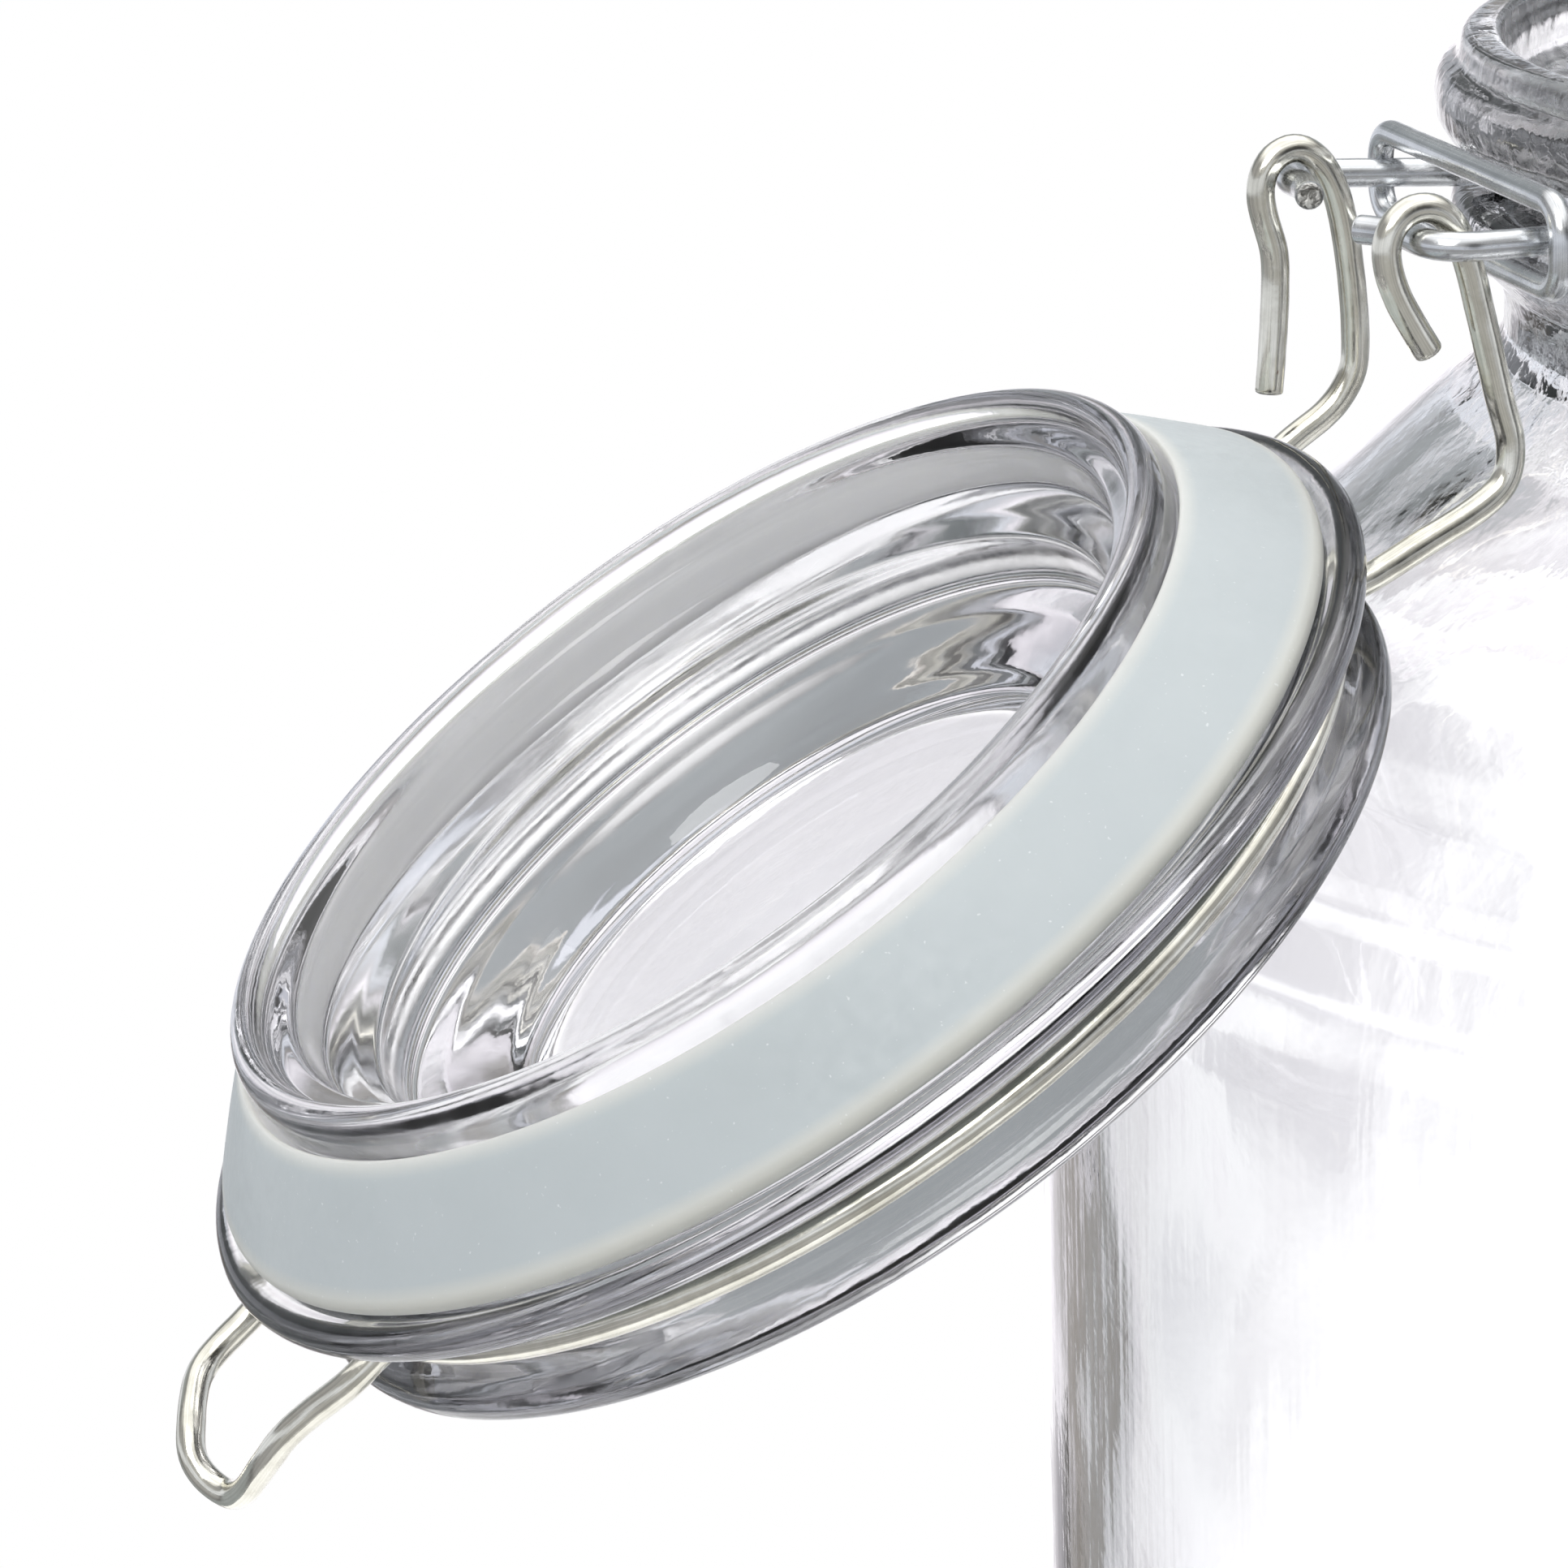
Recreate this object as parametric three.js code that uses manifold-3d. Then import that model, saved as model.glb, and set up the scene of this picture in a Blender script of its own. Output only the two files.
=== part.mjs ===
import * as THREE from "three";
import { mergeVertices } from "three/addons/utils/BufferGeometryUtils.js";
import Module from "manifold-3d";

const wasm = await Module();
wasm.setup();

// ---------------------------------------------------------------- driving dimensions (mm, degrees)
const PIN_Z = 214.0;          // height of the hinge pins above the base
const PIN_X = -63.2;          // hinge pins behind the jar axis
const LID_TILT = 33.43;       // open lid, below the horizontal
const FLANGE_RISE = 12.2;     // flange plane above the pins, lid shut
const RIM_RISE = 9.3;         // sealing land above the pins
const WIRE_R = 1.1;           // bail and neck wire
const CLAMP_R = 1.0;          // loop, lever and keeper wire
const BODY_R = 84.2;          // jar body
const WALL = 4.2;             // jar wall
const BASE_T = 6.5;           // jar base
const NECK_R = 45.4;          // bottom of the wire groove below the bead
const RING_R = 47.4;          // neck wire, centreline
const RING_RISE = -0.8;       // neck wire against the pins
const BAIL_R = 44.7;          // bail in the lid groove, centreline
const BAIL_RISE = 5.0;        // bail above the flange plane
const PIN_INNER_Y = 6.5;      // free ends of the pins
const PIN_BEND_Y = 9.8;       // inside the hooks the pins turn backwards
const PIN_BACK = { far: 1.0, near: 2.4 };   // by this much at their free ends
const ARM_Y = 15.8;           // back arms at the pins
const KEEPER_X = -54.2;
const KEEPER_HALF = 17.2;
const BAR_X = 56.5;           // front bar of the neck wire
const LOOP_Y = 13.0;
const LOOP_TOP = [54.2, 27.4];   // x and rise of the loop's top bar, clamp shut
const CLAW = [52.6, 21.8];       // x and rise of the claw bar, clamp shut
const LEVER_Y = 10.0;
const LOOP_SWING = 145.0;     // hanging to shut
const LEVER_SWING = 204.0;    // hanging to shut, against the loop
const SEGS = 40;

const rad = (d) => (d * Math.PI) / 180;

// ---------------------------------------------------------------- materials
const glass = new THREE.MeshStandardMaterial({ name: "clear_glass", color: 0xdfe6e6, roughness: 0.06, metalness: 0.0 });
const silicone = new THREE.MeshStandardMaterial({ name: "pale_silicone", color: 0xcfd6d8, roughness: 0.55, metalness: 0.0 });
const bailWire = new THREE.MeshStandardMaterial({ name: "tinned_wire", color: 0xb9b5a6, roughness: 0.28, metalness: 1.0 });
const neckWire = new THREE.MeshStandardMaterial({ name: "zinc_wire", color: 0xaeb2b3, roughness: 0.3, metalness: 1.0 });

// ---------------------------------------------------------------- closed solids
function closed(geometry) {
  let g = geometry.clone();
  g.deleteAttribute("normal");
  g.deleteAttribute("uv");
  g = mergeVertices(g, 1e-4);
  const p = g.attributes.position;
  const idx = g.index.array;
  const keep = [];
  for (let i = 0; i < idx.length; i += 3) {
    const [a, b, c] = [idx[i], idx[i + 1], idx[i + 2]];
    if (a !== b && b !== c && a !== c) keep.push(a, b, c);
  }
  let vol = 0;
  const A = new THREE.Vector3(), B = new THREE.Vector3(), C = new THREE.Vector3();
  for (let i = 0; i < keep.length; i += 3) {
    A.fromBufferAttribute(p, keep[i]);
    B.fromBufferAttribute(p, keep[i + 1]);
    C.fromBufferAttribute(p, keep[i + 2]);
    vol += A.dot(B.cross(C));
  }
  if (vol < 0) for (let i = 0; i < keep.length; i += 3) [keep[i + 1], keep[i + 2]] = [keep[i + 2], keep[i + 1]];
  g.setIndex(keep);
  return g;
}

function toManifold(g) {
  return new wasm.Manifold(
    new wasm.Mesh({
      numProp: 3,
      vertProperties: new Float32Array(g.attributes.position.array),
      triVerts: new Uint32Array(g.index.array),
    }),
  );
}

function union(list) {
  let m = toManifold(closed(list[0]));
  for (let i = 1; i < list.length; i++) m = m.add(toManifold(closed(list[i])));
  const out = m.getMesh();
  const g = new THREE.BufferGeometry();
  g.setAttribute("position", new THREE.BufferAttribute(new Float32Array(out.vertProperties), 3));
  g.setIndex(Array.from(out.triVerts));
  return g;
}

// body of revolution about Z from [radius, height] pairs
function turned(profile, segs = SEGS) {
  const g = new THREE.LatheGeometry(profile.map(([r, z]) => new THREE.Vector2(r, z)), segs);
  g.rotateX(Math.PI / 2);
  return g;
}

// round wire along a list of points
class Course extends THREE.Curve {
  constructor(points) {
    super();
    this.points = points;
  }
  getPoint(t, target = new THREE.Vector3()) {
    const n = this.points.length - 1;
    const f = Math.min(Math.max(t * n, 0), n);
    const i = Math.min(Math.floor(f + 1e-9), n - 1);
    return target.copy(this.points[i]).lerp(this.points[i + 1], f - i);
  }
  getPointAt(u, target) {
    return this.getPoint(u, target);
  }
  getTangentAt(u, target = new THREE.Vector3()) {
    const n = this.points.length - 1;
    const i = Math.round(u * n);
    const before = i > 0 ? this.points[i].clone().sub(this.points[i - 1]).normalize() : null;
    const after = i < n ? this.points[i + 1].clone().sub(this.points[i]).normalize() : null;
    target.set(0, 0, 0);
    if (before) target.add(before);
    if (after) target.add(after);
    return target.normalize();
  }
}

function wire(points, radius, sides = 10) {
  const ring = [];
  for (let i = 0; i < sides; i++) {
    const a = (2 * Math.PI * i) / sides;
    ring.push(new THREE.Vector2(radius * Math.cos(a), radius * Math.sin(a)));
  }
  return new THREE.ExtrudeGeometry(new THREE.Shape(ring), {
    steps: points.length - 1,
    extrudePath: new Course(points),
    bevelEnabled: false,
  });
}

const V = (x, y, z) => new THREE.Vector3(x, y, z);

// polyline with round corners: entries are [point, corner radius]
function bent(entries, perCorner = 5) {
  const out = [];
  const n = entries.length;
  for (let i = 0; i < n; i++) {
    const [p, r] = entries[i];
    if (i === 0 || i === n - 1 || !r) {
      out.push(p.clone());
      continue;
    }
    const a = entries[i - 1][0].clone().sub(p).normalize();
    const b = entries[i + 1][0].clone().sub(p).normalize();
    const half = Math.acos(Math.min(1, Math.max(-1, a.dot(b)))) / 2;
    const cut = r / Math.tan(half);
    const centre = a.clone().add(b).normalize().multiplyScalar(r / Math.sin(half)).add(p);
    const s = a.clone().multiplyScalar(cut).add(p).sub(centre);
    const e = b.clone().multiplyScalar(cut).add(p).sub(centre);
    const total = s.angleTo(e);
    for (let k = 0; k <= perCorner; k++) {
      const t = k / perCorner;
      const w0 = Math.sin((1 - t) * total) / Math.sin(total);
      const w1 = Math.sin(t * total) / Math.sin(total);
      out.push(s.clone().multiplyScalar(w0).addScaledVector(e, w1).add(centre));
    }
  }
  return out;
}

// smooth course through points, with about `step` mm between samples
function smooth(points, step) {
  const c = new THREE.CatmullRomCurve3(points, false, "centripetal");
  const n = Math.max(2, Math.round(c.getLength() / step));
  return c.getSpacedPoints(n);
}

function arcPoints(radius, z, from, to, stepDeg = 7.5) {
  const n = Math.max(1, Math.round(Math.abs(to - from) / stepDeg));
  const out = [];
  for (let i = 0; i <= n; i++) {
    const a = rad(from + ((to - from) * i) / n);
    out.push(V(radius * Math.cos(a), radius * Math.sin(a), z));
  }
  return out;
}

function eye(x, y, z, bore, tube) {
  const g = new THREE.TorusGeometry(bore + tube, tube, 8, 14);
  g.rotateX(Math.PI / 2);
  g.translate(x, y, z);
  return g;
}

// ---------------------------------------------------------------- jar body
const P = (r, rise) => [r, PIN_Z + rise];
const jarProfile = [
  [0, 0], [70.0, 0], [74.5, 0.9], [78.6, 3.0], [81.8, 6.4], [83.6, 10.6], [BODY_R, 16.0],
  P(BODY_R, -59.0), P(83.9, -55.0), P(83.0, -50.2), P(81.4, -46.0), P(79.2, -42.4), P(76.2, -38.9),
  P(72.2, -35.4), P(67.6, -31.9), P(63.8, -29.1), P(60.0, -25.9), P(56.0, -22.2), P(52.4, -19.0), P(50.0, -17.0),
  P(48.3, -15.3), P(47.4, -13.5), P(47.3, -11.4), P(47.8, -9.6), P(49.2, -8.2), P(50.6, -6.9), P(51.4, -5.2),
  P(51.5, -4.0), P(51.2, -3.0), P(50.4, -2.45), P(49.6, -2.35), P(46.6, -2.3), P(45.6, -1.8),
  P(NECK_R, -1.2), P(NECK_R, -0.6), P(45.9, 0.3), P(47.0, 0.7), P(50.0, 0.9), P(51.6, 1.6), P(52.5, 3.0),
  P(52.6, 4.6), P(52.35, 5.9), P(51.85, 6.7), P(51.2, 7.05), P(50.9, 7.3), P(50.75, 7.7), P(50.6, 8.6), P(50.25, 9.1),
  P(49.7, RIM_RISE), P(47.95, RIM_RISE),
  P(47.5, 8.9), P(47.2, 4.6), P(46.3, 3.5), P(42.9, 2.7), P(42.0, 1.9), P(41.5, -1.5), P(41.3, -8.0), P(42.0, -12.6), P(44.2, -18.0),
  P(48.6, -22.8), P(57.4, -29.4), P(64.8, -34.7), P(72.6, -41.0), P(76.6, -46.2), P(79.2, -52.6),
  P(BODY_R - WALL, -60.0), [BODY_R - WALL, 18.0], [78.0, 11.6], [74.0, 8.2], [68.5, BASE_T], [0, BASE_T],
];
const jarBody = closed(turned(jarProfile));

// ---------------------------------------------------------------- lid, drawn shut about the jar axis, heights from the flange plane
const lidProfile = [
  [0, 4.5], [22.6, 4.4], [24.2, 3.9], [25.2, 2.7], [26.6, 1.7], [29.2, 0.25], [31.6, -0.25], [31.95, -0.6], [32.08, -4.5],
  [33.14, -5.83], [35.05, -7.4], [35.3, -9.2], [35.45, -10.1], [35.7, -10.45], [37.5, -11.0], [37.8, -11.3], [37.9, -12.1],
  [38.2, -12.6], [38.8, -12.85], [39.4, -12.75], [39.95, -12.35], [40.2, -11.7], [40.25, -10.6], [40.0, -8.0],
  [39.6, -3.4], [39.9, -1.4], [40.7, -0.6], [41.6, -0.45], [47.6, -0.45], [48.3, -0.85], [49.2, -0.8], [49.8, -0.2],
  [50.0, 0.5], [49.7, 1.4], [48.9, 2.0], [47.4, 2.4], [45.4, 2.8], [44.0, 3.3], [43.3, 4.1], [43.2, 5.0], [43.4, 6.0],
  [44.2, 6.8], [45.5, 7.4], [46.4, 8.3], [46.7, 9.4], [46.3, 10.5], [45.3, 11.15], [43.8, 11.3], [31.0, 11.3],
  [29.4, 10.8], [28.2, 9.8], [26.8, 9.3], [0, 9.2],
];
const lidShut = closed(turned(lidProfile));

// conical seal in the corner between plug and flange
const gasketProfile = [
  [42.0, -0.8], [47.2, -0.8], [47.6, -1.1], [47.75, -1.9], [47.55, -2.5], [44.35, -6.1], [41.35, -9.35], [41.0, -9.75], [40.7, -9.6],
  [40.55, -8.6], [40.3, -6.0], [40.05, -3.4], [40.3, -2.0], [41.2, -1.0], [42.0, -0.8],
];
const gasketShut = closed(turned(gasketProfile));

// bail: points are x, y and height over the flange plane
const HX = PIN_X, HZ = -FLANGE_RISE;
const hookFar = [
  V(HX + 10.6, 12.4, HZ + 12.2), V(HX + 8.0, 12.5, HZ + 9.0), V(HX + 5.7, 12.6, HZ + 6.0), V(HX + 4.1, 12.6, HZ + 3.5),
  V(HX + 3.3, 12.6, HZ + 0.9), V(HX + 2.3, 12.6, HZ - 1.2), V(HX + 0.3, 12.6, HZ - 2.45), V(HX - 1.8, 12.6, HZ - 1.9),
  V(HX - 2.65, 12.6, HZ + 0.3), V(HX - 2.3, 12.6, HZ + 3.0), V(HX - 1.1, 12.7, HZ + 6.2), V(HX + 2.4, 12.9, HZ + 12.9),
  V(HX + 4.2, 13.0, HZ + 15.3), V(HX + 7.2, 13.1, HZ + 16.6), V(HX + 11.4, 13.2, HZ + 16.7),
];
const hookNear = [
  V(HX + 4.0, -12.4, HZ + 7.3), V(HX + 3.9, -12.5, HZ + 4.8), V(HX + 3.7, -12.6, HZ + 2.2), V(HX + 3.0, -12.6, HZ - 0.2),
  V(HX + 1.7, -12.6, HZ - 2.0), V(HX - 0.4, -12.6, HZ - 2.5), V(HX - 2.1, -12.6, HZ - 1.5), V(HX - 2.65, -12.6, HZ + 0.7),
  V(HX - 1.9, -12.7, HZ + 3.8), V(HX - 0.5, -12.8, HZ + 7.6), V(HX + 1.7, -13.0, HZ + 13.3), V(HX + 2.9, -13.1, HZ + 16.6),
  V(HX + 4.8, -13.2, HZ + 18.6), V(HX + 7.6, -13.2, HZ + 18.9), V(HX + 12.0, -13.2, HZ + 18.4),
];
const nose = [
  V(46.6, 11.2, 5.6), V(50.4, 10.3, 6.1), V(53.2, 10.2, 6.4), V(55.4, 9.4, 6.6), V(57.0, 7.2, 6.9), V(58.4, 4.7, 7.5),
  V(59.8, 3.3, 8.9), V(60.0, 2.2, 10.6), V(59.3, 0.2, 11.9), V(58.0, -2.7, 11.0), V(56.7, -5.0, 9.6), V(55.2, -6.9, 8.3),
  V(53.3, -8.2, 7.2), V(50.8, -9.2, 6.6), V(47.4, -11.0, 5.9),
];
const exitFar = rad(163), exitNear = rad(197);
const bailPoints = [
  ...smooth([...hookFar, V(HX + 17.2, 13.2, -HZ - 12.2 + 5.2), V(BAIL_R * Math.cos(exitFar) - 0.9, BAIL_R * Math.sin(exitFar) - 0.1, BAIL_RISE + 0.1)], 1.35),
  ...arcPoints(BAIL_R, BAIL_RISE, 160, 17.5),
  ...smooth([V(BAIL_R * Math.cos(rad(14.6)) + 0.3, BAIL_R * Math.sin(rad(14.6)), BAIL_RISE + 0.1), ...nose, V(BAIL_R * Math.cos(rad(-15.0)) + 0.3, BAIL_R * Math.sin(rad(-15.0)), BAIL_RISE + 0.1)], 1.35),
  ...arcPoints(BAIL_R, BAIL_RISE, -18, -160),
  ...smooth([V(BAIL_R * Math.cos(exitNear) - 0.9, BAIL_R * Math.sin(exitNear) + 0.1, BAIL_RISE + 0.15), V(HX + 17.2, -13.2, 5.6), ...hookNear.slice().reverse()], 1.35),
];
const bailShut = closed(wire(bailPoints, WIRE_R, 8));

// ---------------------------------------------------------------- neck wire with pins, ring and front bar
const ringZ = PIN_Z + RING_RISE;
const backA = Math.asin(13.6 / RING_R);
const half = (s) => [
  [V(PIN_X - (s > 0 ? PIN_BACK.far : PIN_BACK.near), s * PIN_INNER_Y, PIN_Z), 0],
  [V(PIN_X, s * PIN_BEND_Y, PIN_Z), 2.0],
  [V(PIN_X, s * ARM_Y, PIN_Z), 2.6],
  [V(-RING_R * Math.cos(backA) - 1.0, s * 13.2, ringZ), 3.0],
];
const ringFrom = 180 - (backA * 180) / Math.PI - 4.5;
const ringTo = 27;
const front = (s) => [
  [V(47.5, s * 17.6, ringZ), 2.4],
  [V(BAR_X, s * 16.6, ringZ), 2.6],
];
const arcPlus = arcPoints(RING_R, ringZ, ringFrom, ringTo);
const arcMinus = arcPlus.map((p) => V(p.x, -p.y, p.z)).reverse();
const neckPoints = bent([
  ...half(1),
  ...arcPlus.map((p) => [p, 0]),
  ...front(1),
  ...front(-1).reverse(),
  ...arcMinus.map((p) => [p, 0]),
  ...half(-1).reverse(),
]);
const neckWireBody = closed(wire(neckPoints, WIRE_R, 10));

// ---------------------------------------------------------------- keeper link, its ends meeting at a butt seam
const kTop = PIN_Z + 2.5, kLow = PIN_Z - 3.9;
const keeperPoints = bent([
  [V(KEEPER_X, 2.2, kLow), 0],
  [V(KEEPER_X, KEEPER_HALF, kLow), 2.4],
  [V(KEEPER_X, KEEPER_HALF, kTop), 2.4],
  [V(KEEPER_X, -KEEPER_HALF, kTop), 2.4],
  [V(KEEPER_X, -KEEPER_HALF, kLow), 2.4],
  [V(KEEPER_X, 1.85, kLow), 0],
]);
const keeperBody = closed(wire(keeperPoints, CLAMP_R, 10));

// ---------------------------------------------------------------- front clamp, drawn shut
const barZ = ringZ;
const loopZ = PIN_Z + LOOP_TOP[1];
const bore = 0.35;
const loopPoints = bent([
  [V(BAR_X, LOOP_Y, barZ + WIRE_R + bore + CLAMP_R), 0],
  [V(LOOP_TOP[0], LOOP_Y, loopZ), 1.9],
  [V(LOOP_TOP[0], -LOOP_Y, loopZ), 1.9],
  [V(BAR_X, -LOOP_Y, barZ + WIRE_R + bore + CLAMP_R), 0],
]);
const loopShut = union([
  wire(loopPoints, CLAMP_R),
  eye(BAR_X, LOOP_Y, barZ, WIRE_R + bore, CLAMP_R),
  eye(BAR_X, -LOOP_Y, barZ, WIRE_R + bore, CLAMP_R),
]);

const eyeR = CLAMP_R + bore + CLAMP_R;
const handlePoints = bent([
  [V(LOOP_TOP[0], LEVER_Y, loopZ + eyeR), 0],
  [V(60.4, LEVER_Y, loopZ + 2.2), 3.0],
  [V(64.8, LEVER_Y - 0.4, loopZ - 2.2), 3.0],
  [V(66.8, LEVER_Y - 1.6, loopZ - 20.4), 3.6],
  [V(66.8, -LEVER_Y + 1.6, loopZ - 20.4), 3.6],
  [V(64.8, -LEVER_Y + 0.4, loopZ - 2.2), 3.0],
  [V(60.4, -LEVER_Y, loopZ + 2.2), 3.0],
  [V(LOOP_TOP[0], -LEVER_Y, loopZ + eyeR), 0],
]);
const clawPoints = bent([
  [V(LOOP_TOP[0] - eyeR, LEVER_Y, loopZ), 0],
  [V(CLAW[0], LEVER_Y, PIN_Z + CLAW[1]), 1.8],
  [V(CLAW[0], -LEVER_Y, PIN_Z + CLAW[1]), 1.8],
  [V(LOOP_TOP[0] - eyeR, -LEVER_Y, loopZ), 0],
]);
const leverShut = union([
  wire(handlePoints, CLAMP_R),
  wire(clawPoints, CLAMP_R),
  eye(LOOP_TOP[0], LEVER_Y, loopZ, CLAMP_R + bore, CLAMP_R),
  eye(LOOP_TOP[0], -LEVER_Y, loopZ, CLAMP_R + bore, CLAMP_R),
]);

// ---------------------------------------------------------------- assembly in its rest pose: lid open on the shoulder, clamp hanging
const group = new THREE.Group();
group.name = "clip_top_jar";

function add(parent, name, geometry, material, offset) {
  const g = geometry.clone();
  g.computeVertexNormals();
  const mesh = new THREE.Mesh(g, material.clone());
  mesh.name = name;
  if (offset) mesh.position.copy(offset);
  parent.add(mesh);
}

// glass jar with the wire parts that stay on its neck
add(group, "jar_body", jarBody, glass);
add(group, "neck_wire", neckWireBody, neckWire);
add(group, "hinge_keeper", keeperBody, neckWire);

// lid assembly, turned back about the hinge pins
const lidGroup = new THREE.Group();
lidGroup.name = "lid_assembly";
lidGroup.position.set(PIN_X, 0, PIN_Z);
lidGroup.rotation.y = -rad(180 + LID_TILT);
const lidOffset = V(-PIN_X, 0, FLANGE_RISE);
add(lidGroup, "lid", lidShut, glass, lidOffset);
add(lidGroup, "gasket", gasketShut, silicone, lidOffset);
add(lidGroup, "lid_bail", bailShut, bailWire, lidOffset);
group.add(lidGroup);

// clamp loop on the front bar, and the lever on the loop
const loopGroup = new THREE.Group();
loopGroup.name = "loop_swing";
loopGroup.position.set(BAR_X, 0, barZ);
loopGroup.rotation.y = rad(LOOP_SWING);
add(loopGroup, "clamp_loop", loopShut, bailWire, V(-BAR_X, 0, -barZ));
const leverGroup = new THREE.Group();
leverGroup.name = "lever_swing";
leverGroup.position.set(LOOP_TOP[0] - BAR_X, 0, loopZ - barZ);
leverGroup.rotation.y = rad(LEVER_SWING);
add(leverGroup, "clamp_lever", leverShut, bailWire, V(-LOOP_TOP[0], 0, -loopZ));
loopGroup.add(leverGroup);
group.add(loopGroup);

export default group;
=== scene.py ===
import math

import bmesh
import bpy
import numpy as np
from mathutils import Matrix, Vector


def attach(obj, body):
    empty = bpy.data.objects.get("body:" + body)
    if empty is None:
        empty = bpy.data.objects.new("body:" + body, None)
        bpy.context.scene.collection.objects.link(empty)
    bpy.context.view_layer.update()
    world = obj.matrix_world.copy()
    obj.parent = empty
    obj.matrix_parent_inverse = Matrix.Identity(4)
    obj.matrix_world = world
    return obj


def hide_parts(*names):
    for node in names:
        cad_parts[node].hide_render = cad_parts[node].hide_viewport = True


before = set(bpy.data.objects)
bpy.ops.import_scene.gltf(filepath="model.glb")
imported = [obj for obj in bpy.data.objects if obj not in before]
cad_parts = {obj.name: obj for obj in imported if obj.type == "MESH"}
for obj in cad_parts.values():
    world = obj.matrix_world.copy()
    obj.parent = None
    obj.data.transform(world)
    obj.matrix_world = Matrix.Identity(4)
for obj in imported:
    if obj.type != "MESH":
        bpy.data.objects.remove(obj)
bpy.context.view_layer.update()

MM = 0.001

# ---------------------------------------------------------------- driving dimensions, as in the CAD part (mm)
PIN_Z, PIN_X, LID_TILT = 214.0, -63.2, 33.43
FLANGE_RISE, RIM_RISE = 12.2, 9.3
WIRE_R, CLAMP_R = 1.1, 1.0
BODY_R, WALL, BASE_T, NECK_R = 84.2, 4.2, 6.5, 45.4
RING_R, RING_RISE = 47.4, -0.8
BAIL_R, BAIL_RISE = 44.7, 5.0
PIN_INNER_Y, PIN_BEND_Y, ARM_Y = 6.5, 9.8, 15.8
PIN_BACK_FAR, PIN_BACK_NEAR = 1.0, 2.4
KEEPER_X, KEEPER_HALF = -54.2, 17.2
BAR_X, LOOP_Y, LEVER_Y = 56.5, 13.0, 10.0
LOOP_TOP, CLAW = (54.2, 27.4), (52.6, 21.8)
LOOP_SWING, LEVER_SWING = 145.0, 204.0


def rot_y(deg):
    return Matrix.Rotation(math.radians(deg), 4, "Y")


# lid-shut frame (heights from the flange plane) to its open rest place
LID_M = (Matrix.Translation(Vector((PIN_X, 0, PIN_Z)) * MM) @ rot_y(-(180 + LID_TILT))
         @ Matrix.Translation(Vector((-PIN_X, 0, FLANGE_RISE)) * MM))
RING_Z = PIN_Z + RING_RISE
LOOP_Z = PIN_Z + LOOP_TOP[1]
LOOP_M = (Matrix.Translation(Vector((BAR_X, 0, RING_Z)) * MM) @ rot_y(LOOP_SWING)
          @ Matrix.Translation(Vector((-BAR_X, 0, -RING_Z)) * MM))
LEVER_M = (LOOP_M @ Matrix.Translation(Vector((LOOP_TOP[0], 0, LOOP_Z)) * MM) @ rot_y(LEVER_SWING)
           @ Matrix.Translation(Vector((-LOOP_TOP[0], 0, -LOOP_Z)) * MM))


# ---------------------------------------------------------------- curves and fields
def field(p, wavelength, seed, n=26):
    """Smooth random field of unit variance at points p, with features near `wavelength`."""
    rng = np.random.default_rng(seed)
    d = rng.normal(size=(n, 3))
    d /= np.linalg.norm(d, axis=1)[:, None]
    k = 2 * np.pi / (wavelength * rng.uniform(0.7, 1.45, n))
    ph = rng.uniform(0, 2 * np.pi, n)
    return np.cos(p @ (d * k[:, None]).T + ph).sum(1) * math.sqrt(2.0 / n)


def gauss(values, sigma, step, periodic=False):
    half = max(1, int(round(3.2 * sigma / step)))
    x = np.arange(-half, half + 1) * step
    w = np.exp(-0.5 * (x / sigma) ** 2)
    w /= w.sum()
    out = np.zeros_like(values)
    n = len(values)
    for k, wk in zip(range(-half, half + 1), w):
        idx = np.arange(n) + k
        idx = idx % n if periodic else np.clip(idx, 0, n - 1)
        out += wk * values[idx]
    return out


def lengths(p):
    return np.concatenate([[0], np.cumsum(np.linalg.norm(np.diff(p, axis=0), axis=1))])


def resample(p, step):
    s = lengths(p)
    n = max(2, int(round(s[-1] / step)))
    t = np.linspace(0, s[-1], n + 1)
    return np.stack([np.interp(t, s, p[:, i]) for i in range(p.shape[1])], 1)


def thin_out(p, tol, longest):
    """Fewest points whose chords stay within tol of the dense line p."""
    keep, i, n = [0], 0, len(p)
    while i < n - 1:
        j = i + 1
        while j + 1 < n:
            a, b = p[i], p[j + 1]
            d = b - a
            ln = np.linalg.norm(d)
            if ln > longest:
                break
            q = p[i + 1:j + 1] - a
            off = np.linalg.norm(q - np.outer(q @ d / max(ln * ln, 1e-12), d), axis=1)
            if off.max() > tol:
                break
            j += 1
        keep.append(j)
        i = j
    return p[keep]


def rounded_half(points, sigma, step=0.15):
    """Rounded half section whose two ends lie on the axis, as a dense line."""
    p = resample(np.array(points, float), step)
    m = len(p)
    mirror = p[::-1] * np.array([-1, 1])
    ext = np.vstack([mirror[:-1], p, mirror[1:]])
    sm = np.stack([gauss(ext[:, i], sigma, step) for i in range(2)], 1)[m - 1:2 * m - 1]
    sm[0, 0] = sm[-1, 0] = 0.0
    return sm


def ring_profile(points, sigma, tol=0.01, longest=1.2, step=0.06):
    p = resample(np.array(points + [points[0]], float), step)[:-1]
    sm = np.stack([gauss(p[:, i], sigma, step, True) for i in range(2)], 1)
    out = thin_out(np.vstack([sm, sm[:1]]), tol, longest)
    return out[:-1]


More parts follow.
